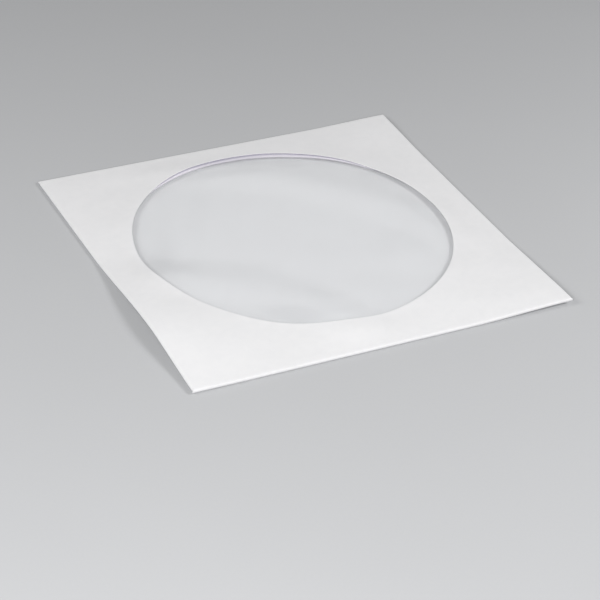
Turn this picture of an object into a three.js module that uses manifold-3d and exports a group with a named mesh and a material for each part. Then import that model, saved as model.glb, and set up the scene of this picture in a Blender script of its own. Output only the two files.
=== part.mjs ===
// A paper sleeve for one disc, lying face up: a single sheet folded into a pocket, with a round window in
// its front panel and a clear film behind the window. Millimetres, +Z up. The origin is on the surface that
// the sleeve lies on, under the middle of its box. -Y is the mouth with its flap, +Y is the bottom fold.
import * as THREE from "three";
import { mergeVertices } from "three/addons/utils/BufferGeometryUtils.js";
import Module from "manifold-3d";

// Outer size, over the folds
const SLEEVE_WIDTH = 127;
const SLEEVE_DEPTH = 124;

// Sheets
const PAPER = 0.12;
const FILM = 0.04;
const GLUE_LINE = 0.1;
const GLUE_BITE = 0.06;

// Room in the empty pocket along its folds, between the film and the side tabs
const POCKET_ROOM = 0.4;

// Window, and how far the film reaches past it
const WINDOW_DIAMETER = 101.6;
const WINDOW_FROM_BOTTOM_FOLD = 58.9;
const FILM_OVERLAP = 5.4;

// Leaves folded under the front panel
const CORNER_SLIT = 0.3;
const TAB_WIDTH = 11;
const TAB_TAPER = 4;
const MOUTH_SETBACK = 3;
const FLAP_DEPTH = 26;
const FLAP_TAPER = 7;
const FLAP_CORNER = 9;
const FLAP_PLAY = 0.2;
const RAMP_LENGTH = 16;

// How the relaxed sheet stands off the flat. All its layers lift along a stretch of the left side and at
// two corners. The front panel alone is crowned, with soft ridges in arcs round the mouth's left corner.
const SIDE_LIFT = { height: 2.3, reach: 40, fromMouth: 36 };
const RIGHT_CORNER_LIFT = { height: 1.0, reach: 36 };
const FAR_CORNER_LIFT = { height: 0.6, reach: 30 };
const CROWN = 1.2;
const NEAR_RIDGE = { height: 0.6, fromCorner: 58, reach: 15 };
const FAR_RIDGE = { height: 0.3, fromCorner: 124.5, reach: 15 };
const RIDGE_END = 12;

// Fineness of the facets
const PANEL_CELLS = 24;
const FOLD_STEPS = 6;
const CORNER_STEPS = 4;
const WINDOW_FACETS = 120;

const PAPER_COLOUR = 0xf0f1f3;
const FILM_COLOUR = 0xe9e9f4;

// Heights of the middle of each sheet, above the surface or above what the flap lifts
const FLAP_RISE = PAPER + FLAP_PLAY;
const BACK_LEVEL = PAPER / 2;
const TAB_LEVEL = BACK_LEVEL + PAPER - GLUE_BITE;
const FRONT_LEVEL = TAB_LEVEL + PAPER + POCKET_ROOM + FILM + GLUE_LINE;
const FILM_LEVEL = FRONT_LEVEL - PAPER / 2 - GLUE_LINE - FILM / 2;

// Radii of the folds, at the middle of the paper
const SIDE_FOLD = (FRONT_LEVEL - TAB_LEVEL) / 2;
const BOTTOM_FOLD = (FRONT_LEVEL - BACK_LEVEL) / 2;
const FLAP_FOLD = (FRONT_LEVEL + FLAP_RISE - BACK_LEVEL) / 2;

// Edges of the front panel, where its folds begin
const SIDE_EDGE = SLEEVE_WIDTH / 2 - PAPER / 2 - SIDE_FOLD;
const BOTTOM_EDGE = SLEEVE_DEPTH / 2 - PAPER / 2 - BOTTOM_FOLD;
const MOUTH_EDGE = SLEEVE_DEPTH / 2 - PAPER / 2 - FLAP_FOLD;
const WINDOW_Y = SLEEVE_DEPTH / 2 - WINDOW_FROM_BOTTOM_FOLD;

const wasm = await Module();
wasm.setup();

// A smooth rise from 0 at 0 to 1 at 1
function smooth(value) {
  const t = THREE.MathUtils.clamp(value, 0, 1);
  return t * t * (3 - 2 * t);
}

// A smooth mound, 1 at its middle and 0 from its reach outwards
function mound(x, y, middleX, middleY, reach) {
  return smooth(1 - Math.hypot(x - middleX, y - middleY) / reach);
}

// How far every layer lifts off the surface at a point
function lift(x, y) {
  const sideX = SLEEVE_WIDTH / 2;
  const sideY = SLEEVE_DEPTH / 2;
  const side = SIDE_LIFT.height * mound(x, y, -sideX, SIDE_LIFT.fromMouth - sideY, SIDE_LIFT.reach);
  const rightCorner = RIGHT_CORNER_LIFT.height * mound(x, y, sideX, -sideY, RIGHT_CORNER_LIFT.reach);
  const farCorner = FAR_CORNER_LIFT.height * mound(x, y, sideX, sideY, FAR_CORNER_LIFT.reach);
  return side + rightCorner + farCorner;
}

// How far the flap lifts what lies on it: fully over the flap, then down a smooth ramp behind its free edge
function overFlap(y) {
  const past = y - (FLAP_DEPTH - SLEEVE_DEPTH / 2);
  return FLAP_RISE * smooth(1 - past / RAMP_LENGTH);
}

// How high a ridge is at a point: it runs in an arc round the mouth's left corner
function ridge({ height, fromCorner, reach }, x, y) {
  const distance = Math.hypot(x + SLEEVE_WIDTH / 2, y + SLEEVE_DEPTH / 2);
  return height * smooth(1 - Math.abs(distance - fromCorner) / reach);
}

// How far the front panel alone stands off its folds, where it falls to nothing
function bulge(x, y) {
  const fromSides = SIDE_EDGE - Math.abs(x);
  const fromEnds = Math.min(BOTTOM_EDGE - y, y + MOUTH_EDGE);
  const middleY = (BOTTOM_EDGE - MOUTH_EDGE) / 2;
  const across = x / SIDE_EDGE;
  const along = (y - middleY) / (BOTTOM_EDGE - middleY);
  const crown = CROWN * (1 - across * across) * (1 - along * along);
  const inside = smooth(fromSides / RIDGE_END) * smooth(fromEnds / RIDGE_END);
  return crown + inside * (ridge(NEAR_RIDGE, x, y) + ridge(FAR_RIDGE, x, y));
}

// Evenly spaced stations from one value to another, both included
function stations(from, to, cells) {
  return Array.from({ length: cells + 1 }, (_, i) => THREE.MathUtils.lerp(from, to, i / cells));
}

// A sheet of cells, columns by rows, one cell thick. place(column, row, side) gives each vertex, with side
// -0.5 on the inner face and 0.5 on the outer one. Both faces of a cell are split along the same diagonal, so
// that a thin sheet's faces never cross where it twists.
function sheet(columns, rows, place) {
  const geometry = new THREE.BoxGeometry(columns, rows, 1, columns, rows, 1);
  geometry.deleteAttribute("normal");
  geometry.deleteAttribute("uv");
  const position = geometry.getAttribute("position");
  for (let i = 0; i < position.count; i++) {
    const column = Math.round(position.getX(i) + columns / 2);
    const row = Math.round(position.getY(i) + rows / 2);
    const [x, y, z] = place(column, row, position.getZ(i));
    position.setXYZ(i, x, y, z);
  }
  const corners = geometry.index.array;
  const innerFace = geometry.groups.at(-1);
  for (let i = innerFace.start; i < innerFace.start + innerFace.count; i += 6) {
    const [a, b, d, , c] = corners.slice(i, i + 5);
    corners.set([a, b, c, a, c, d], i);
  }
  return solidOf(geometry);
}

// A closed geometry as a solid that can be cut and joined
function solidOf(geometry) {
  const merged = mergeVertices(geometry, 1e-4);
  const vertProperties = merged.getAttribute("position").array;
  const triVerts = new Uint32Array(merged.index.array);
  return new wasm.Manifold(new wasm.Mesh({ numProp: 3, vertProperties, triVerts }));
}

// A solid as a mesh with flat-shaded faces
function meshOf(name, solid, material) {
  const { vertProperties, triVerts } = solid.getMesh();
  const geometry = new THREE.BufferGeometry();
  geometry.setAttribute("position", new THREE.BufferAttribute(vertProperties, 3));
  geometry.setIndex(new THREE.BufferAttribute(triVerts, 1));
  geometry.computeVertexNormals();
  const mesh = new THREE.Mesh(geometry, material);
  mesh.name = name;
  return mesh;
}

// A leaf of the blank, folded under the front panel along one of its edges. edge holds the stations along
// that edge, going clockwise seen from above. The fold is a half turn, mitred where it meets the next fold,
// and inward lists how far the leaf's rows lie from where its fold ends. share(distance) gives each row's
// share of the edge's length. frame turns a point along the edge and a distance out from the middle into x
// and y. A leaf that rides lies above the flap, and is lifted by it.
function leaf({ edge, foldStart, radius, inward, share, frame, rides }) {
  const arc = stations(0, Math.PI, FOLD_STEPS).map((turn) => ({
    turn,
    out: foldStart + radius * Math.sin(turn),
    drop: radius * (1 - Math.cos(turn)),
    inward: 0,
  }));
  const flat = inward.map((distance) => ({
    turn: Math.PI,
    out: foldStart - distance,
    drop: 2 * radius,
    inward: distance,
  }));
  const rows = [...arc, ...flat];
  const middle = (edge[0] + edge.at(-1)) / 2;
  const half = Math.abs(edge.at(-1) - middle);
  return sheet(edge.length - 1, rows.length - 1, (column, row, side) => {
    const { turn, out, drop, inward: distance } = rows[row];
    const mitre = (radius / half) * Math.sin(turn);
    const along = middle + (edge[column] - middle) * (share(distance) + mitre);
    const [x, y] = frame(along, out + side * PAPER * Math.sin(turn));
    const [, bareY] = frame(along, out);
    const start = FRONT_LEVEL + (rides ? overFlap(bareY) : FLAP_RISE);
    return [x, y, start - drop + side * PAPER * Math.cos(turn) + lift(x, bareY)];
  });
}

// Stations of the front panel, with a short first and last cell where the slits at its corners lie
function edgeStations(from, to) {
  return [from, ...stations(from + CORNER_SLIT, to - CORNER_SLIT, PANEL_CELLS), to];
}

const panelX = edgeStations(-SIDE_EDGE, SIDE_EDGE);
const panelY = edgeStations(-MOUTH_EDGE, BOTTOM_EDGE);
const leafX = panelX.slice(1, -1);
const leafY = panelY.slice(1, -1);

// The front panel, with its window cut out
function frontPanel() {
  const panel = sheet(panelX.length - 1, panelY.length - 1, (column, row, side) => {
    const x = panelX[column];
    const y = panelY[row];
    return [x, y, FRONT_LEVEL + overFlap(y) + bulge(x, y) + lift(x, y) + side * PAPER];
  });
  const cutterHeight = 2 * (FRONT_LEVEL + CROWN + NEAR_RIDGE.height + SIDE_LIFT.height + FLAP_RISE);
  const cutter = new THREE.CylinderGeometry(
    WINDOW_DIAMETER / 2, WINDOW_DIAMETER / 2, cutterHeight, WINDOW_FACETS);
  cutter.deleteAttribute("normal");
  cutter.deleteAttribute("uv");
  cutter.rotateX(Math.PI / 2);
  cutter.translate(0, WINDOW_Y, FRONT_LEVEL);
  return panel.subtract(solidOf(cutter));
}

// The back panel, folded up from the bottom edge over the tabs
function backPanel() {
  const reach = BOTTOM_EDGE + SLEEVE_DEPTH / 2 - MOUTH_SETBACK;
  const distances = leafY.map((y) => BOTTOM_EDGE - y).filter((distance) => distance < reach);
  return leaf({
    edge: leafX,
    foldStart: BOTTOM_EDGE,
    radius: BOTTOM_FOLD,
    inward: [...distances.reverse(), reach],
    share: () => 1,
    frame: (along, out) => [along, out],
    rides: true,
  });
}

// The closing flap, folded under the back panel: its sides taper and its free corners are round
function flap() {
  const reach = FLAP_DEPTH - (SLEEVE_DEPTH / 2 - MOUTH_EDGE);
  const cornerStart = reach - FLAP_CORNER;
  const halfEdge = leafX.at(-1);
  const turns = stations(0, Math.PI / 2, CORNER_STEPS);
  const corner = turns.map((turn) => cornerStart + FLAP_CORNER * Math.sin(turn));
  return leaf({
    edge: [...leafX].reverse(),
    foldStart: MOUTH_EDGE,
    radius: FLAP_FOLD,
    inward: [cornerStart / 2, ...corner],
    share: (distance) => {
      const intoCorner = Math.max(0, distance - cornerStart);
      const rounding = FLAP_CORNER - Math.sqrt(Math.max(0, FLAP_CORNER ** 2 - intoCorner ** 2));
      return (halfEdge - FLAP_TAPER * (distance / reach) - rounding) / halfEdge;
    },
    frame: (along, out) => [along, -out],
    rides: false,
  });
}

// A side tab, glued on the back panel's inner face. side is 1 for the right tab and -1 for the left one.
function sideTab(side) {
  const reach = TAB_WIDTH - (SLEEVE_WIDTH / 2 - SIDE_EDGE);
  const halfEdge = (leafY.at(-1) - leafY[0]) / 2;
  const distances = panelX.map((x) => x + SIDE_EDGE).filter((distance) => distance > 0 && distance < reach);
  return leaf({
    edge: side > 0 ? [...leafY].reverse() : leafY,
    foldStart: SIDE_EDGE,
    radius: SIDE_FOLD,
    inward: [...distances, reach],
    share: (distance) => 1 - (TAB_TAPER / halfEdge) * (distance / reach),
    frame: (along, out) => [side * out, along],
    rides: true,
  });
}

// The clear film behind the window, with the front panel's own stations, so that the two run side by side
function windowFilm() {
  const half = WINDOW_DIAMETER / 2 + FILM_OVERLAP;
  const filmX = [-half, ...panelX.filter((x) => Math.abs(x) < half), half];
  const filmY = [WINDOW_Y - half, ...panelY.filter((y) => Math.abs(y - WINDOW_Y) < half), WINDOW_Y + half];
  return sheet(filmX.length - 1, filmY.length - 1, (column, row, side) => {
    const x = filmX[column];
    const y = filmY[row];
    return [x, y, FILM_LEVEL + overFlap(y) + bulge(x, y) + lift(x, y) + side * FILM];
  });
}

const paper = new THREE.MeshStandardMaterial({ color: PAPER_COLOUR, roughness: 0.75, metalness: 0 });
const film = new THREE.MeshStandardMaterial({
  color: FILM_COLOUR, roughness: 0.12, metalness: 0, transparent: true, opacity: 0.3,
});

const leaves = [backPanel(), flap(), sideTab(1), sideTab(-1)];
const blank = leaves.reduce((whole, part) => whole.add(part), frontPanel());

const sleeve = new THREE.Group();
sleeve.name = "cd_sleeve";
sleeve.add(meshOf("sleeve_blank", blank, paper), meshOf("window_film", windowFilm(), film));

export default sleeve;
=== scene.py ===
"""The looks of a paper sleeve for one disc, lying face up, with a round window of clear film.

Metres, +Z up. The origin is on the surface that the sleeve lies on, under the middle of its box. The mouth,
with the closing flap folded behind it, is at -Y, and the bottom fold is at +Y.
"""

import logging
import math
from dataclasses import dataclass, field
from enum import Enum

import bpy
import numpy as np
from mathutils import Matrix, Vector


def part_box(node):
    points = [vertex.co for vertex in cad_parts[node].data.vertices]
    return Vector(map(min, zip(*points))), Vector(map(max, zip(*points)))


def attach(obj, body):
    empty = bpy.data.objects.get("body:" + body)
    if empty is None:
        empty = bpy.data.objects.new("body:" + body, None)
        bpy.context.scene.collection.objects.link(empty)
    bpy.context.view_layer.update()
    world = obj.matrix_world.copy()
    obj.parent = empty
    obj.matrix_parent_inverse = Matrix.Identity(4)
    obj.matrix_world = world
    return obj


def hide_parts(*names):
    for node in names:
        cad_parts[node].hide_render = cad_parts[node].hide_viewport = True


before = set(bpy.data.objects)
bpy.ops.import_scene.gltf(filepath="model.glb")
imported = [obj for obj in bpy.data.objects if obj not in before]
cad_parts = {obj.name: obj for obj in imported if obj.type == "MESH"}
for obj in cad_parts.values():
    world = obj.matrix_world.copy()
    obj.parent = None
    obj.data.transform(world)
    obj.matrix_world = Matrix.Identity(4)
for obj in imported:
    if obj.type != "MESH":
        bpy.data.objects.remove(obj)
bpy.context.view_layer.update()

logging.basicConfig(level=logging.INFO, format="%(message)s")
log = logging.getLogger("sleeve")

MM = 0.001
# The mean of soft noise, and an even blend of two things.
HALF = 0.5
# The angle in degrees from which a bend is shaded as a sharp edge.
SHARP_TURN = 40.0
WHITE = (1.0, 1.0, 1.0)

Array = np.ndarray
Colour = tuple[float, float, float]
Place = tuple[float, float, float]


def smooth(value: Array) -> Array:
    """Rises from 0 at 0 to 1 at 1 and is level at both ends.

    The formula is three times the square less twice the cube of the value, which is first held between 0
    and 1.

    Args:
        value: How far along the rise each point is.

    Returns:
        The height of the rise at each point.
    """
    t = np.clip(value, 0.0, 1.0)
    return t * t * (3.0 - 2.0 * t)


@dataclass(frozen=True)
class Mound:
    """A round, smooth lift of every layer of the sleeve."""

    height: float
    middle: tuple[float, float]
    reach: float

    def at(self, x: Array, y: Array) -> Array:
        """Works out the lift: full in the middle, and falling smoothly to nothing at the reach.

        Args:
            x: Places across the sleeve.
            y: Places along the sleeve.

        Returns:
            The lift at each place.
        """
        distance = np.hypot(x - self.middle[0], y - self.middle[1])
        return self.height * smooth(1.0 - distance / self.reach)


@dataclass(frozen=True)
class Ridge:
    """A soft ridge in a panel that runs in an arc round one point."""

    height: float
    middle: tuple[float, float]
    radius: float
    reach: float

    def at(self, x: Array, y: Array) -> Array:
        """Works out the height: full on the arc, and falling smoothly to nothing at the reach on either side.

        Args:
            x: Places across the sleeve.
            y: Places along the sleeve.

        Returns:
            The height at each place.
        """
        distance = np.hypot(x - self.middle[0], y - self.middle[1])
        return self.height * smooth(1.0 - np.abs(distance - self.radius) / self.reach)


@dataclass(frozen=True)
class Wave:
    """A long, shallow wave in a sheet."""

    height: float
    length: float
    bearing: float
    phase: float

    def at(self, x: Array, y: Array) -> Array:
        """Works out the wave: the sine of the distance along its bearing, one turn to each wave length.

        Args:
            x: Places across the sleeve.
            y: Places along the sleeve.

        Returns:
            The height of the wave at each place.
        """
        turn = math.radians(self.bearing)
        along = x * math.cos(turn) + y * math.sin(turn)
        return self.height * np.sin(2.0 * math.pi * along / self.length + self.phase)


@dataclass(frozen=True)
class SleeveShape:
    """The sleeve's sizes, and how its relaxed sheet stands off the flat."""

    width: float = 127.0 * MM
    depth: float = 124.0 * MM
    paper: float = 0.12 * MM
    film: float = 0.04 * MM
    glue_line: float = 0.1 * MM
    tab_gap: float = 0.01 * MM
    front_level: float = 0.78 * MM
    window_diameter: float = 101.6 * MM
    window_from_bottom: float = 58.9 * MM
    film_overlap: float = 5.4 * MM
    corner_slit: float = 0.07 * MM
    tab_width: float = 11.0 * MM
    tab_taper: float = 4.0 * MM
    mouth_setback: float = 3.0 * MM
    flap_depth: float = 26.0 * MM
    flap_taper: float = 7.0 * MM
    flap_corner: float = 9.0 * MM
    flap_play: float = 0.2 * MM
    ramp_length: float = 16.0 * MM
    crown: float = 1.2 * MM
    ridge_end: float = 12.0 * MM
    swell_edge: float = 51.0 * MM
    swell_fade: float = 10.0 * MM
    waves: tuple[Wave, ...] = (
        Wave(height=0.08 * MM, length=38.0 * MM, bearing=28.0, phase=0.4),
        Wave(height=0.06 * MM, length=26.0 * MM, bearing=-41.0, phase=1.9),
        Wave(height=0.03 * MM, length=17.0 * MM, bearing=74.0, phase=3.1),
    )

    @property
    def left_mouth_corner(self) -> tuple[float, float]:
        """The corner of the outline where the mouth meets the left side."""
        return (-self.width / 2, -self.depth / 2)

    @property
    def lifts(self) -> tuple[Mound, ...]:
        """Where every layer lifts off the surface: on the left side, and at two corners.

        Returns:
            The mounds.
        """
        side_x, side_y = self.width / 2, self.depth / 2
        return (
            Mound(height=2.3 * MM, middle=(-side_x, 36.0 * MM - side_y), reach=40.0 * MM),
            Mound(height=1.0 * MM, middle=(side_x, -side_y), reach=36.0 * MM),
            Mound(height=0.6 * MM, middle=(side_x, side_y), reach=30.0 * MM),
        )

    @property
    def front_ridges(self) -> tuple[Ridge, ...]:
        """The soft ridges of the front panel, in arcs round the mouth's left corner.

        Returns:
            The ridges.
        """
        corner = self.left_mouth_corner
        return (
            Ridge(height=0.6 * MM, middle=corner, radius=58.0 * MM, reach=15.0 * MM),
            Ridge(height=0.3 * MM, middle=corner, radius=124.5 * MM, reach=15.0 * MM),
        )

    @property
    def back_swells(self) -> tuple[Ridge | Mound, ...]:
        """Where the back panel stands off the flat: under the front's ridges, and in a mound beside them.

        Returns:
            The ridges and the mound.
        """
        corner = self.left_mouth_corner
        return (
            Ridge(height=1.15 * MM, middle=corner, radius=58.0 * MM, reach=14.0 * MM),
            Ridge(height=0.95 * MM, middle=corner, radius=123.5 * MM, reach=13.0 * MM),
            Mound(height=0.7 * MM, middle=(31.0 * MM, -18.0 * MM), reach=17.0 * MM),
        )

    @property
    def flap_rise(self) -> float:
        """How far the flap lifts what lies on it."""
        return self.paper + self.flap_play

    @property
    def back_level(self) -> float:
        """The height of the middle of the back panel's paper."""
        return self.paper / 2

    @property
    def tab_level(self) -> float:
        """The height of the middle of the side tabs' paper."""
        return self.back_level + self.paper + self.tab_gap

    @property
    def film_level(self) -> float:
        """The height of the middle of the film."""
        return self.front_level - self.paper / 2 - self.glue_line - self.film / 2

    @property
    def side_fold(self) -> float:
        """The radius of the two side folds."""
        return (self.front_level - self.tab_level) / 2

    @property
    def bottom_fold(self) -> float:
        """The radius of the bottom fold."""
        return (self.front_level - self.back_level) / 2

    @property
    def flap_fold(self) -> float:
        """The radius of the flap's fold."""
        return (self.front_level + self.flap_rise - self.back_level) / 2

    @property
    def side_edge(self) -> float:
        """How far from the middle the side folds begin."""
        return self.width / 2 - self.paper / 2 - self.side_fold

    @property
    def bottom_edge(self) -> float:
        """How far from the middle the bottom fold begins."""
        return self.depth / 2 - self.paper / 2 - self.bottom_fold

    @property
    def mouth_edge(self) -> float:
        """How far from the middle the flap's fold begins."""
        return self.depth / 2 - self.paper / 2 - self.flap_fold

    @property
    def window_y(self) -> float:
        """Where along the sleeve the middle of the window lies."""
        return self.depth / 2 - self.window_from_bottom

    def lift(self, x: Array, y: Array) -> Array:
        """Works out how far every layer stands off the surface: the sum of the mounds.

        Args:
            x: Places across the sleeve.
            y: Places along the sleeve.

        Returns:
            The lift at each place.
        """
        return sum(mound.at(x, y) for mound in self.lifts)

    def over_flap(self, y: Array) -> Array:
        """Works out how far the flap lifts what lies on it: fully over it, then down a smooth ramp behind it.

        Args:
            y: Places along the sleeve.

        Returns:
            The rise at each place.
        """
        past = y - (self.flap_depth - self.depth / 2)
        return self.flap_rise * smooth(1.0 - past / self.ramp_length)

    def bulge(self, x: Array, y: Array) -> Array:
        """Works out how far the front panel alone stands off its folds.

        The crown is the product of two parabolas, one across and one along, that are 0 at the folds. The
        ridges and the waves are added to it, and fade out smoothly towards the folds.

        Args:
            x: Places across the sleeve.
            y: Places along the sleeve.

        Returns:
            The bulge at each place.
        """
        middle_y = (self.bottom_edge - self.mouth_edge) / 2
        across = x / self.side_edge
        along = (y - middle_y) / (self.bottom_edge - middle_y)
        crown = self.crown * (1.0 - across**2) * (1.0 - along**2)
        from_ends = np.minimum(self.bottom_edge - y, y + self.mouth_edge)
        inside = smooth((self.side_edge - np.abs(x)) / self.ridge_end) * smooth(from_ends / self.ridge_end)
        ridges = sum(ridge.at(x, y) for ridge in self.front_ridges)
        waves = sum(wave.at(x, y) for wave in self.waves)
        return crown + inside * (ridges + waves)

    def back_swell(self, x: Array, y: Array) -> Array:
        """Works out the back panel's own relief: its swells, which fade out before the tabs and the folds.

        Args:
            x: Places across the sleeve.
            y: Places along the sleeve.

        Returns:
            The swell at each place.
        """
        room = smooth((self.swell_edge - np.abs(x)) / self.swell_fade)
        room = room * smooth((self.swell_edge - np.abs(y)) / self.swell_fade)
        return room * sum(swell.at(x, y) for swell in self.back_swells)

    def front(self, x: Array, y: Array) -> Array:
        """Works out the height of the front panel above its flat level: flap, bulge and lift together.

        Args:
            x: Places across the sleeve.
            y: Places along the sleeve.

        Returns:
            The height to add to the panel's or the film's own level.
        """
        return self.over_flap(y) + self.bulge(x, y) + self.lift(x, y)


class PanelEdge(Enum):
    """An edge of the front panel: the way along it, clockwise seen from above, and the way outward."""

    BOTTOM = ((1.0, 0.0), (0.0, 1.0))
    RIGHT = ((0.0, -1.0), (1.0, 0.0))
    MOUTH = ((-1.0, 0.0), (0.0, -1.0))
    LEFT = ((0.0, 1.0), (-1.0, 0.0))

    @property
    def along(self) -> Array:
        """The unit vector along the edge."""
        return np.array(self.value[0])

    @property
    def out(self) -> Array:
        """The unit vector out of the panel."""
        return np.array(self.value[1])


@dataclass(frozen=True)
class Leaf:
    """A leaf of the blank, folded under the front panel along one of its edges.

    The leaf is reach deep from where its half turn ends, its sides taper, and its free corners may be round.
    A leaf that rides lies over the closing flap, and is lifted by it. A leaf that swells has the back panel's
    relief.
    """

    edge: PanelEdge
    radius: float
    reach: float
    taper: float = 0.0
    corner: float = 0.0
    rides: bool = True
    swells: bool = False
    row_depth: float = 1.2 * MM
    corner_rows: int = 10

    def distances(self) -> Array:
        """Works out how far the flat rows lie from the end of the half turn.

        Rows are even as far as the round corners, and there they follow the sine of an even turn, so that the
        round is even too.

        Returns:
            The distances, without the 0 at the end of the half turn.
        """
        straight = self.reach - self.corner
        even = np.linspace(0.0, straight, max(2, round(straight / self.row_depth)) + 1)[1:]
        if self.corner == 0.0:
            return even
        turns = np.linspace(0.0, math.pi / 2, self.corner_rows + 1)[1:]
        return np.concatenate([even, straight + self.corner * np.sin(turns)])

    def share(self, distance: Array, half: float) -> Array:
        """Works out each row's share of the edge's length, with the taper and the round corner taken off.

        Args:
            distance: How far the rows lie from the end of the half turn.
            half: Half of the edge's length.

        Returns:
            The share of each row.
        """
        into_corner = np.clip(distance - (self.reach - self.corner), 0.0, None)
        rounding = self.corner - np.sqrt(np.clip(self.corner**2 - into_corner**2, 0.0, None))
        return (half - self.taper * distance / self.reach - rounding) / half


@dataclass(frozen=True)
class Grain:
    """Soft noise for a finish: a grain's size, its finer layers, its twist and its scale on each axis."""

    size: float
    detail: float
    twist: float = 0.0
    scale: Place = (1.0, 1.0, 1.0)


class Signal:
    """A number that a shader works out at each point, with which sums read as plain arithmetic."""

    def __init__(self, graph: "Graph", socket: bpy.types.NodeSocket) -> None:
        """Wraps an output socket.

        Args:
            graph: The node tree that the socket is in.
            socket: The socket that gives the number.
        """
        self.graph = graph
        self.socket = socket

    def _maths(self, operation: str, first: "Signal | float", second: "Signal | float") -> "Signal":
        """Adds a Math node on two numbers.

        Args:
            operation: The Math node's operation.
            first: The first number.
            second: The second number.

        Returns:
            The result.
        """
        node = self.graph.node("ShaderNodeMath", {"operation": operation}, {0: first, 1: second})
        return Signal(self.graph, node.outputs[0])

    def __add__(self, other: "Signal | float") -> "Signal":
        """This number plus another."""
        return self._maths("ADD", self, other)

    __radd__ = __add__

    def __sub__(self, other: "Signal | float") -> "Signal":
        """This number less another."""
        return self._maths("SUBTRACT", self, other)

    def __rsub__(self, other: "Signal | float") -> "Signal":
        """Another number less this one."""
        return self._maths("SUBTRACT", other, self)

    def __mul__(self, other: "Signal | float") -> "Signal":
        """This number times another."""
        return self._maths("MULTIPLY", self, other)

    __rmul__ = __mul__

    def __pow__(self, other: "Signal | float") -> "Signal":
        """This number to the power of another."""
        return self._maths("POWER", self, other)

    def larger(self, other: "Signal | float") -> "Signal":
        """The larger of this number and another."""
        return self._maths("MAXIMUM", self, other)

    def swing(self, amount: float) -> "Signal":
        """How far this noise is from its mean, times an amount."""
        return (self - HALF) * amount


class Graph:
    """The node tree of a material or of the world, with one way to add a node."""

    def __init__(self, owner: bpy.types.Material | bpy.types.World) -> None:
        """Empties the owner's node tree.

        Args:
            owner: The material or world to write into.
        """
        owner.use_nodes = True
        self.tree = owner.node_tree
        self.tree.nodes.clear()

    def node(
        self,
        kind: str,
        settings: dict[str, object] | None = None,
        sockets: dict[str | int, object] | None = None,
    ) -> bpy.types.Node:
        """Adds a node: its settings are set first, and then its sockets are given values or links.

        Args:
            kind: The node's type.
            settings: The node's own settings by name.
            sockets: Values, sockets or signals for its inputs, by name or number.

        Returns:
            The node.
        """
        node = self.tree.nodes.new(kind)
        for name, value in (settings or {}).items():
            setattr(node, name, value)
        for name, value in (sockets or {}).items():
            self.feed(node.inputs[name], value)
        return node

    def feed(self, socket: bpy.types.NodeSocket, value: object) -> None:
        """Gives an input a link or a plain value.

        Args:
            socket: The input.
            value: A signal, an output socket, or a plain value. A plain colour is made fully opaque.
        """
        source = value.socket if isinstance(value, Signal) else value
        if isinstance(source, bpy.types.NodeSocket):
            self.tree.links.new(source, socket)
        elif socket.type == "RGBA":
            socket.default_value = (*source, 1.0)
        else:
            socket.default_value = source

    def places(self, scale: Place = (1.0, 1.0, 1.0)) -> bpy.types.NodeSocket:
        """Gives the places on the object, scaled along each axis.

        Args:
            scale: The scale along each axis.

        Returns:
            The socket that holds the places.
        """
        plain = self.node("ShaderNodeTexCoord").outputs["Object"]
        return self.node("ShaderNodeMapping", None, {"Vector": plain, "Scale": scale}).outputs["Vector"]

    def noise(self, grain: Grain) -> Signal:
        """Adds soft noise over the object.

        Args:
            grain: The noise's grain.

        Returns:
            The noise, about one half on average.
        """
        sockets = {
            "Vector": self.places(grain.scale),
            "Scale": 1.0 / grain.size,
            "Detail": grain.detail,
            "Distortion": grain.twist,
        }
        return Signal(self, self.node("ShaderNodeTexNoise", None, sockets).outputs[0])

    def clamped(self, value: Signal) -> Signal:
        """Holds a number between 0 and 1.

        Args:
            value: The number.

        Returns:
            The number, held.
        """
        return Signal(self, self.node("ShaderNodeClamp", None, {"Value": value}).outputs[0])

    def blend(self, share: Signal | float, first: object, second: object) -> bpy.types.NodeSocket:
        """Blends two colours.

        Args:
            share: The share of the second one.
            first: The first colour, or a socket that gives it.
            second: The second colour, or a socket that gives it.

        Returns:
            The socket that holds the blend.
        """
        settings = {"data_type": "RGBA", "clamp_factor": True}
        return self.node("ShaderNodeMix", settings, {0: share, 6: first, 7: second}).outputs[2]

    def surface(self, shader: bpy.types.Node) -> None:
        """Makes a shader the owner's surface.

        Args:
            shader: The shader node.
        """
        self.node("ShaderNodeOutputMaterial", None, {"Surface": shader.outputs[0]})


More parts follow.
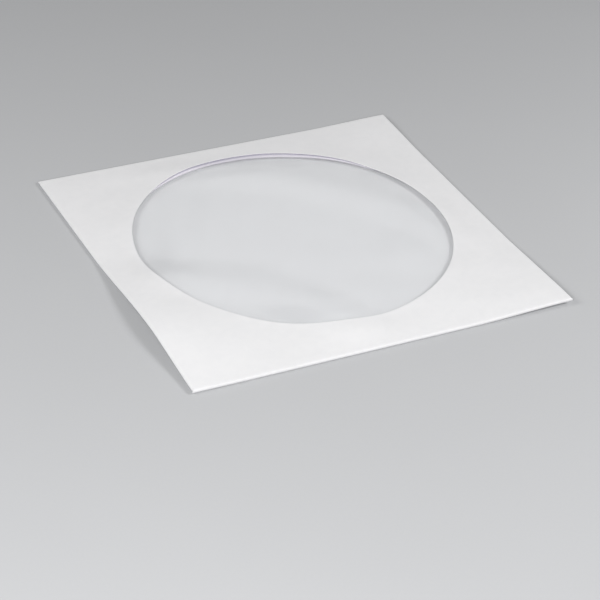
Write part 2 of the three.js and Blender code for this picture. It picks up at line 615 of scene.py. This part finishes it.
@dataclass(frozen=True)
class PaperFinish:
    """Smooth uncoated white paper, with faint clouds where it is thicker or thinner and a fine fibre grain.

    It is thin enough for a little light to glow through into the pocket. Along the folds it is darker: partly
    creased, and partly painted shade that holds down how brightly the lamps light the folds.
    """

    name: str = "white_paper"
    thick: Colour = (0.932, 0.930, 0.926)
    thin: Colour = (0.892, 0.892, 0.892)
    fibre_shade: Colour = (0.84, 0.84, 0.84)
    # Darker colour along the folds: partly the crease's broken fibres, and partly painted shade that holds
    # down how brightly the lamps light the folds.
    crease_and_painted_shade: Colour = (0.76, 0.76, 0.765)
    glow: Colour = (0.91, 0.90, 0.95)
    glow_share: float = 0.22
    clouds: Grain = Grain(size=2.6 * MM, detail=4.0, twist=0.4)
    fibres: Grain = Grain(size=0.22 * MM, detail=3.0, twist=1.2, scale=(1.0, 0.45, 1.0))
    cloud_contrast: float = 1.6
    fibre_contrast: float = 0.5
    crease_and_painted_shade_share: float = 0.55
    roughness: float = 0.68
    cloud_roughness: float = 0.12
    fibre_roughness: float = 0.1
    specular: float = 0.35
    grain_height: float = 0.012 * MM
    grain_strength: float = 0.6
    cloud_height: float = 0.6

    def material(self) -> bpy.types.Material:
        """Builds the paper's material.

        Returns:
            The material.
        """
        made = bpy.data.materials.new(self.name)
        graph = Graph(made)
        clouds = graph.noise(self.clouds)
        fibres = graph.noise(self.fibres)
        fold = Signal(graph, graph.node("ShaderNodeAttribute", {"attribute_name": "fold"}).outputs["Fac"])
        # Along the folds the colour darkens: partly a crease, and partly painted shade that holds down the
        # lamps' light on them.
        crease_and_painted_shade_mask = fold * (self.crease_and_painted_shade_share + fibres.swing(self.fibre_contrast))
        colour = graph.blend(HALF + clouds.swing(self.cloud_contrast), self.thin, self.thick)
        colour = graph.blend(fibres.swing(self.fibre_contrast), colour, self.fibre_shade)
        colour = graph.blend(crease_and_painted_shade_mask, colour, self.crease_and_painted_shade)
        bump = graph.node(
            "ShaderNodeBump",
            None,
            {
                "Strength": self.grain_strength,
                "Distance": self.grain_height,
                "Height": fibres + clouds * self.cloud_height,
            },
        )
        roughness = self.roughness + clouds.swing(self.cloud_roughness) + fibres.swing(self.fibre_roughness)
        shader = graph.node(
            "ShaderNodeBsdfPrincipled",
            None,
            {
                "Base Color": colour,
                "Roughness": roughness,
                "Specular IOR Level": self.specular,
                "Normal": bump.outputs[0],
            },
        )
        glow = graph.node("ShaderNodeBsdfTranslucent", None, {"Color": self.glow})
        mixed = {0: self.glow_share, 1: shader.outputs[0], 2: glow.outputs[0]}
        graph.surface(graph.node("ShaderNodeMixShader", None, mixed))
        return made


@dataclass(frozen=True)
class CutEdgeFinish:
    """The raw cut edge of the paper, where the loose ends of the fibres show."""

    name: str = "cut_paper_edge"
    light: Colour = (0.86, 0.86, 0.86)
    dark: Colour = (0.74, 0.74, 0.74)
    fibres: Grain = Grain(size=0.09 * MM, detail=2.0, twist=0.8)
    fibre_contrast: float = 1.4
    fibre_height: float = 0.01 * MM
    fibre_strength: float = 0.5
    roughness: float = 0.85
    fibre_roughness: float = 0.15
    specular: float = 0.2

    def material(self) -> bpy.types.Material:
        """Builds the cut edge's material.

        Returns:
            The material.
        """
        made = bpy.data.materials.new(self.name)
        graph = Graph(made)
        fibres = graph.noise(self.fibres)
        bump = graph.node(
            "ShaderNodeBump",
            None,
            {"Strength": self.fibre_strength, "Distance": self.fibre_height, "Height": fibres},
        )
        shader = graph.node(
            "ShaderNodeBsdfPrincipled",
            None,
            {
                "Base Color": graph.blend(HALF + fibres.swing(self.fibre_contrast), self.dark, self.light),
                "Roughness": self.roughness + fibres.swing(self.fibre_roughness),
                "Specular IOR Level": self.specular,
                "Normal": bump.outputs[0],
            },
        )
        graph.surface(shader)
        return made


@dataclass(frozen=True)
class FilmFinish:
    """Thin clear film: it lets nearly all light through with a faint tint, and shines more at a low angle.

    Along the window's far edge the film is painted with a thin dark violet line, a painted shadow under the
    paper's cut edge, and a wider pale lavender crescent inside it, which is painted light. Each is what lies
    outside a circle a little larger than the window, whose middle is nearer the mouth.
    """

    window_radius: float
    window_middle: tuple[float, float]
    name: str = "clear_film"
    tint: Colour = (0.956, 0.960, 0.962)
    haze: Colour = (0.86, 0.85, 0.93)
    haze_share: float = 0.025
    # Painted shadow: a thin dark violet line along the window's far edge, where the paper's cut edge shades
    # the film.
    line: Colour = (0.42, 0.40, 0.50)
    painted_shadow_share: float = 0.9
    painted_shadow_width: float = 1.25 * MM
    # Painted light: a wider pale lavender crescent inside the painted shadow line.
    crescent: Colour = (0.95, 0.91, 1.0)
    painted_light_share: float = 0.6
    painted_light_width: float = 2.7 * MM
    blur: float = 0.35 * MM
    growth: float = 2.0
    bearing: float = 10.0
    straight_gloss: float = 0.04
    gloss_power: float = 5.0
    roughness: float = 0.19
    scuffs: Grain = Grain(size=1.4 * MM, detail=4.0, twist=0.6, scale=(1.0, 0.25, 1.0))
    scuff_roughness: float = 0.03
    scuff_haze: float = 0.6

    def beyond(self, graph: Graph, width: float) -> Signal:
        """Marks a crescent along the window's far edge: what lies outside a larger circle nearer the mouth.

        The crescent's middle lies at the bearing, in degrees from +Y towards +X.

        Args:
            graph: The node tree to add to.
            width: How wide the crescent is at its middle. The circle is larger by its growth times this.

        Returns:
            1 outside the circle, 0 inside it, with a soft step between.
        """
        place = graph.node("ShaderNodeSeparateXYZ", None, {0: graph.places()}).outputs
        turn = math.radians(self.bearing)
        moved = (1.0 + self.growth) * width
        away_x = Signal(graph, place["X"]) - (self.window_middle[0] - moved * math.sin(turn))
        away_y = Signal(graph, place["Y"]) - (self.window_middle[1] - moved * math.cos(turn))
        distance = (away_x * away_x + away_y * away_y) ** 0.5
        outside = distance - (self.window_radius + self.growth * width)
        return graph.clamped(outside * (1.0 / self.blur))

    def material(self) -> bpy.types.Material:
        """Builds the film's material.

        The gloss follows the angle of sight: its share seen straight on, and the rest of it times a high
        power of one less the cosine of the angle, which the Facing output gives at a blend of one half.

        Returns:
            The material.
        """
        made = bpy.data.materials.new(self.name)
        graph = Graph(made)
        scuffs = graph.noise(self.scuffs)
        # Masks for the painted shadow line and the painted light crescent along the window's far edge.
        line = self.beyond(graph, self.painted_shadow_width)
        crescent = self.beyond(graph, self.painted_light_width)
        facing = Signal(graph, graph.node("ShaderNodeLayerWeight", None, {"Blend": HALF}).outputs["Facing"])
        gloss = self.straight_gloss + (1.0 - self.straight_gloss) * facing**self.gloss_power
        clear = graph.node("ShaderNodeBsdfTransparent", None, {"Color": self.tint})
        # The body colour gets the painted light crescent, then the painted shadow line.
        colour = graph.blend(crescent, self.haze, self.crescent)
        colour = graph.blend(line, colour, self.line)
        roughness = self.roughness + scuffs * self.scuff_roughness
        body = graph.node("ShaderNodeBsdfPrincipled", None, {"Base Color": colour, "Roughness": roughness})
        shine = graph.node("ShaderNodeBsdfGlossy", None, {"Color": WHITE, "Roughness": self.roughness})
        haze_and_painted_marks = self.haze_share * (1.0 + scuffs.swing(self.scuff_haze))
        # The painted shadow line and the painted light crescent show through a larger share of the body.
        haze_and_painted_marks = haze_and_painted_marks + self.painted_light_share * crescent + (self.painted_shadow_share - self.painted_light_share) * line
        mixed = {0: haze_and_painted_marks, 1: clear.outputs[0], 2: body.outputs[0]}
        hazed_and_painted = graph.node("ShaderNodeMixShader", None, mixed)
        mixed = {0: gloss, 1: hazed_and_painted.outputs[0], 2: shine.outputs[0]}
        graph.surface(graph.node("ShaderNodeMixShader", None, mixed))
        return made


@dataclass(frozen=True)
class FloorFinish:
    """A plain pale grey table top."""

    name: str = "pale_floor"
    light: Colour = (0.515, 0.520, 0.530)
    dark: Colour = (0.490, 0.495, 0.505)
    clouds: Grain = Grain(size=70.0 * MM, detail=3.0, twist=0.3)
    specks: Grain = Grain(size=0.9 * MM, detail=2.0)
    cloud_contrast: float = 0.7
    speck_contrast: float = 0.6
    roughness: float = 0.9
    specular: float = 0.2

    def material(self) -> bpy.types.Material:
        """Builds the floor's material.

        Returns:
            The material.
        """
        made = bpy.data.materials.new(self.name)
        graph = Graph(made)
        clouds = graph.noise(self.clouds).swing(self.cloud_contrast)
        specks = graph.noise(self.specks).swing(self.speck_contrast)
        shade = graph.blend(HALF + clouds + specks, self.dark, self.light)
        shader = graph.node(
            "ShaderNodeBsdfPrincipled",
            None,
            {"Base Color": shade, "Roughness": self.roughness, "Specular IOR Level": self.specular},
        )
        graph.surface(shader)
        return made


def grid_faces(rows: Array) -> Array:
    """Lists the four-sided faces of a grid of vertex numbers.

    Each face looks along the cross product of the way along its row and the way to the next row.

    Args:
        rows: The numbers of the vertices, one line for each row.

    Returns:
        The four corners of each face.
    """
    corners = (rows[:-1, :-1], rows[:-1, 1:], rows[1:, 1:], rows[1:, :-1])
    return np.stack([corner.ravel() for corner in corners], axis=1)


def thickened(obj: bpy.types.Object, thickness: float) -> None:
    """Gives a single surface its thickness, half on either side, with its rim in the last material slot.

    Args:
        obj: The object that holds the surface.
        thickness: The thickness of the sheet.
    """
    solidify = obj.modifiers.new("thickness", "SOLIDIFY")
    solidify.thickness = thickness
    solidify.offset = 0.0
    solidify.use_even_offset = True
    solidify.material_offset_rim = len(obj.data.materials) - 1
    graph = bpy.context.evaluated_depsgraph_get()
    solid = bpy.data.meshes.new_from_object(obj.evaluated_get(graph), depsgraph=graph)
    thin = obj.data
    obj.modifiers.clear()
    obj.data = solid
    bpy.data.meshes.remove(thin)
    solid.name = obj.name
    solid.shade_smooth()
    solid.set_sharp_from_angle(angle=math.radians(SHARP_TURN))


def sheet_object(
    name: str,
    points: Array,
    faces: Array,
    materials: list[bpy.types.Material],
) -> bpy.types.Object:
    """Puts a surface into the scene as an object at the origin.

    Args:
        name: The piece's name.
        points: The places of its vertices.
        faces: The corners of its faces.
        materials: Its materials, one for each slot.

    Returns:
        The object.
    """
    mesh = bpy.data.meshes.new(name)
    mesh.from_pydata(points.tolist(), [], faces.tolist())
    for material in materials:
        mesh.materials.append(material)
    obj = bpy.data.objects.new(name, mesh)
    bpy.context.scene.collection.objects.link(obj)
    return obj


@dataclass
class FoldedBlank:
    """The one sheet of paper that makes the pocket: the windowed front panel and its four folded leaves."""

    shape: SleeveShape
    paper: PaperFinish = field(default_factory=PaperFinish)
    cut_edge: CutEdgeFinish = field(default_factory=CutEdgeFinish)
    edge_cells: int = 104
    rings: int = 30
    fold_steps: int = 12

    def edge_points(self, edge: PanelEdge) -> Array:
        """Works out the stations of one edge of the front panel, clockwise seen from above.

        The first and the last step are the short slits at the corners, and the steps between them are even.

        Args:
            edge: The edge.

        Returns:
            The x and y of each station.
        """
        shape = self.shape
        middle = np.array([0.0, (shape.bottom_edge - shape.mouth_edge) / 2])
        length = np.array([2 * shape.side_edge, shape.bottom_edge + shape.mouth_edge])
        half = abs(float(edge.along @ length)) / 2
        out = abs(float(edge.out @ length)) / 2
        slit = half - shape.corner_slit
        steps = np.concatenate([[-half], np.linspace(-slit, slit, self.edge_cells + 1), [half]])
        return middle + np.outer(steps, edge.along) + out * edge.out

    def front_panel(self) -> tuple[Array, Array]:
        """Works out the front panel as rings, from the window's circle out to the panel's outline.

        Each point lies on the straight line between a station of the outline and the point of the circle in
        the same direction from the window's middle. Its height is the front's own.

        Returns:
            The points, one line for each ring, and the stations of the outline that each edge has.
        """
        shape = self.shape
        outline = np.concatenate([self.edge_points(edge)[:-1] for edge in PanelEdge])
        middle = np.array([0.0, shape.window_y])
        away = outline - middle
        circle = middle + away * (shape.window_diameter / 2 / np.linalg.norm(away, axis=1))[:, None]
        share = np.linspace(0.0, 1.0, self.rings + 1)[:, None, None]
        flat = circle + share * (outline - circle)
        height = shape.front_level + shape.front(flat[..., 0], flat[..., 1])
        points = np.concatenate([flat, height[..., None]], axis=2)
        last = len(self.edge_points(PanelEdge.BOTTOM)) - 1
        stations = np.arange(len(PanelEdge))[:, None] * last + np.arange(1, last)
        return points, stations

    def leaf_points(self, leaf: Leaf) -> tuple[Array, Array]:
        """Works out a leaf's rows after the first, which is the front panel's own edge.

        The rows go round a half turn of the fold's radius, mitred where it meets the next fold, and then lie
        flat under the panel. Their heights have the lift and, for a leaf that rides, the rise over the flap.

        Args:
            leaf: The leaf.

        Returns:
            The points, one line for each row, and how much of the fold's bend each row has.
        """
        shape = self.shape
        stations = self.edge_points(leaf.edge)[1:-1]
        middle = (stations[0] + stations[-1]) / 2
        along = (stations - middle) @ leaf.edge.along
        half = along[-1]
        distance = leaf.distances()
        half_turn = np.linspace(0.0, math.pi, self.fold_steps + 1)[1:]
        turn = np.concatenate([half_turn, np.full(len(distance), math.pi)])
        bend = np.concatenate([np.sin(half_turn), np.zeros(len(distance))])
        distance = np.concatenate([np.zeros(self.fold_steps), distance])
        share = leaf.share(distance, half) + leaf.radius / half * bend
        out = leaf.radius * bend - distance
        flat = middle + (along * share[:, None])[..., None] * leaf.edge.along
        flat = flat + out[:, None, None] * leaf.edge.out
        x, y = flat[..., 0], flat[..., 1]
        start = shape.front_level + (shape.over_flap(y) if leaf.rides else shape.flap_rise)
        height = start - leaf.radius * (1.0 - np.cos(turn))[:, None] + shape.lift(x, y)
        if leaf.swells:
            height = height + shape.back_swell(x, y)
        return np.concatenate([flat, height[..., None]], axis=2), bend

    def leaves(self) -> tuple[Leaf, ...]:
        """Lists the four leaves, in the order of the panel's edges.

        Returns:
            The leaves.
        """
        shape = self.shape
        tab_reach = shape.tab_width - (shape.width / 2 - shape.side_edge)
        flap_reach = shape.flap_depth - (shape.depth / 2 - shape.mouth_edge)
        back_reach = shape.bottom_edge + shape.depth / 2 - shape.mouth_setback
        return (
            Leaf(PanelEdge.BOTTOM, shape.bottom_fold, back_reach, swells=True),
            Leaf(PanelEdge.RIGHT, shape.side_fold, tab_reach, taper=shape.tab_taper),
            Leaf(
                PanelEdge.MOUTH,
                shape.flap_fold,
                flap_reach,
                taper=shape.flap_taper,
                corner=shape.flap_corner,
                rides=False,
            ),
            Leaf(PanelEdge.LEFT, shape.side_fold, tab_reach, taper=shape.tab_taper),
        )

    def build(self) -> bpy.types.Object:
        """Builds the blank, gives the paper its thickness and dresses it.

        Returns:
            The finished piece.
        """
        front, stations = self.front_panel()
        numbers = np.arange(front.shape[0] * front.shape[1]).reshape(front.shape[:2])
        points = [front.reshape(-1, 3)]
        folds = [np.zeros(numbers.size)]
        faces = [grid_faces(np.concatenate([numbers, numbers[:, :1]], axis=1))]
        for leaf, edge_numbers in zip(self.leaves(), numbers[-1][stations]):
            rows, bend = self.leaf_points(leaf)
            first = sum(len(part) for part in points)
            own = first + np.arange(rows.shape[0] * rows.shape[1]).reshape(rows.shape[:2])
            points.append(rows.reshape(-1, 3))
            folds.append(np.repeat(bend, rows.shape[1]))
            faces.append(grid_faces(np.vstack([edge_numbers, own])))
        materials = [self.paper.material(), self.cut_edge.material()]
        obj = sheet_object("paper_sleeve", np.concatenate(points), np.concatenate(faces), materials)
        fold = obj.data.attributes.new("fold", "FLOAT", "POINT")
        fold.data.foreach_set("value", np.concatenate(folds).astype(np.float32))
        thickened(obj, self.shape.paper)
        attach(obj, "root")
        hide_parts("sleeve_blank")
        return obj


@dataclass
class WindowFilm:
    """The clear film glued behind the window, which takes up the shape of the front panel."""

    shape: SleeveShape
    cells: int = 140
    fade: float = 9.0 * MM
    waves: tuple[Wave, ...] = (
        Wave(height=0.05 * MM, length=21.0 * MM, bearing=61.0, phase=0.9),
        Wave(height=0.03 * MM, length=12.5 * MM, bearing=-22.0, phase=2.4),
    )

    def build(self) -> bpy.types.Object:
        """Builds the film as a square grid at the front panel's heights, with waves that fade at its rim.

        Returns:
            The finished piece.
        """
        shape = self.shape
        half = shape.window_diameter / 2 + shape.film_overlap
        steps = np.linspace(-half, half, self.cells + 1)
        x, y = np.meshgrid(steps, shape.window_y + steps)
        from_rim = shape.window_diameter / 2 - np.hypot(x, y - shape.window_y)
        waves = sum(wave.at(x, y) for wave in self.waves)
        height = shape.film_level + shape.front(x, y) + waves * smooth(from_rim / self.fade)
        numbers = np.arange(x.size).reshape(x.shape)
        points = np.stack([x, y, height], axis=2).reshape(-1, 3)
        finish = FilmFinish(shape.window_diameter / 2, (0.0, shape.window_y))
        obj = sheet_object("clear_window", points, grid_faces(numbers), [finish.material()])
        thickened(obj, shape.film)
        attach(obj, "root")
        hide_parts("window_film")
        return obj


@dataclass
class Floor:
    """The plain pale surface that the sleeve lies on."""

    finish: FloorFinish = field(default_factory=FloorFinish)
    half_width: float = 3.0
    level: float = -0.02 * MM
    cells: int = 8

    def build(self) -> bpy.types.Object:
        """Builds the floor as a flat grid.

        Returns:
            The floor.
        """
        steps = np.linspace(-self.half_width, self.half_width, self.cells + 1)
        x, y = np.meshgrid(steps, steps)
        points = np.stack([x, y, np.full_like(x, self.level)], axis=2).reshape(-1, 3)
        faces = grid_faces(np.arange(x.size).reshape(x.shape))
        obj = sheet_object("floor", points, faces, [self.finish.material()])
        return obj


@dataclass(frozen=True)
class SoftLamp:
    """A square soft lamp that looks at a point."""

    name: str
    place: Place
    aim: Place
    size: float
    watts: float

    def build(self) -> None:
        """Hangs the lamp in the scene."""
        lamp = bpy.data.lights.new(self.name, "AREA")
        lamp.size = self.size
        lamp.energy = self.watts
        obj = bpy.data.objects.new(self.name, lamp)
        obj.location = self.place
        obj.rotation_euler = (Vector(self.aim) - Vector(self.place)).to_track_quat("-Z", "Y").to_euler()
        bpy.context.scene.collection.objects.link(obj)


@dataclass
class Studio:
    """Plain soft light: an even room, two lamps on the mouth's side, one on the left and a card for sheen."""

    room_light: float = 0.20
    room_shown: Colour = (0.62, 0.625, 0.635)
    lamps: tuple[SoftLamp, ...] = (
        SoftLamp("left_lamp", place=(-0.24, -0.42, 0.27), aim=(-0.02, 0.0, 0.0), size=0.16, watts=1.80),
        SoftLamp("right_lamp", place=(0.38, -0.26, 0.32), aim=(0.02, 0.0, 0.0), size=0.16, watts=1.65),
        SoftLamp("side_lamp", place=(-0.46, 0.08, 0.30), aim=(-0.02, 0.0, 0.0), size=0.20, watts=1.10),
        SoftLamp("sheen_card", place=(0.32, 0.585, 0.445), aim=(0.0, 0.0, 0.0), size=0.28, watts=0.23),
    )

    def build(self) -> None:
        """Lights the scene. The room's own light is even, and rays that look at it see a pale backdrop."""
        world = bpy.data.worlds.new("room")
        bpy.context.scene.world = world
        graph = Graph(world)
        path = graph.node("ShaderNodeLightPath").outputs
        straight = Signal(graph, path["Is Camera Ray"])
        mirrored = Signal(graph, path["Is Glossy Ray"])
        through = Signal(graph, path["Is Transmission Ray"])
        looked_at = straight.larger(mirrored.larger(through))
        light = graph.node("ShaderNodeBackground", None, {"Color": WHITE, "Strength": self.room_light})
        shown = graph.node("ShaderNodeBackground", None, {"Color": self.room_shown, "Strength": 1.0})
        mixed = {0: looked_at, 1: light.outputs[0], 2: shown.outputs[0]}
        backdrop = graph.node("ShaderNodeMixShader", None, mixed)
        graph.node("ShaderNodeOutputWorld", None, {"Surface": backdrop.outputs[0]})
        for lamp in self.lamps:
            lamp.build()
        bpy.context.scene.view_settings.view_transform = "Standard"


@dataclass(frozen=True)
class Viewpoint:
    """Where the camera stands, what it looks at, and how far it is rolled about its line of sight."""

    place: Place = (-0.2799, -0.5210, 0.37327)
    target: Place = (-0.01447, -0.03123, 0.0011)
    roll: float = 4.102
    lens: float = 132.91
    sensor: float = 36.0
    nearest: float = 0.01
    farthest: float = 20.0

    def build(self) -> None:
        """Makes the camera: its right is the level right turned by the roll about the line of sight."""
        camera = bpy.data.cameras.new("camera")
        camera.lens = self.lens
        camera.sensor_width = self.sensor
        camera.clip_start = self.nearest
        camera.clip_end = self.farthest
        ahead = (Vector(self.target) - Vector(self.place)).normalized()
        level = ahead.cross(Vector((0.0, 0.0, 1.0))).normalized()
        upward = level.cross(ahead)
        turn = math.radians(self.roll)
        right = math.cos(turn) * level + math.sin(turn) * upward
        up = math.cos(turn) * upward - math.sin(turn) * level
        obj = bpy.data.objects.new("camera", camera)
        turned = Matrix((right, up, -ahead)).transposed().to_4x4()
        obj.matrix_world = Matrix.Translation(Vector(self.place)) @ turned
        bpy.context.scene.collection.objects.link(obj)
        bpy.context.scene.camera = obj


def main() -> None:
    """Builds the sleeve, then the floor, the lights and the camera."""
    low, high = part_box("sleeve_blank")
    shape = SleeveShape(width=high.x - low.x, depth=high.y - low.y)
    for maker in (FoldedBlank(shape), WindowFilm(shape), Floor()):
        piece = maker.build()
        log.info("%s: %d faces", piece.name, len(piece.data.polygons))
    Studio().build()
    Viewpoint().build()


if __name__ == "__main__":
    main()
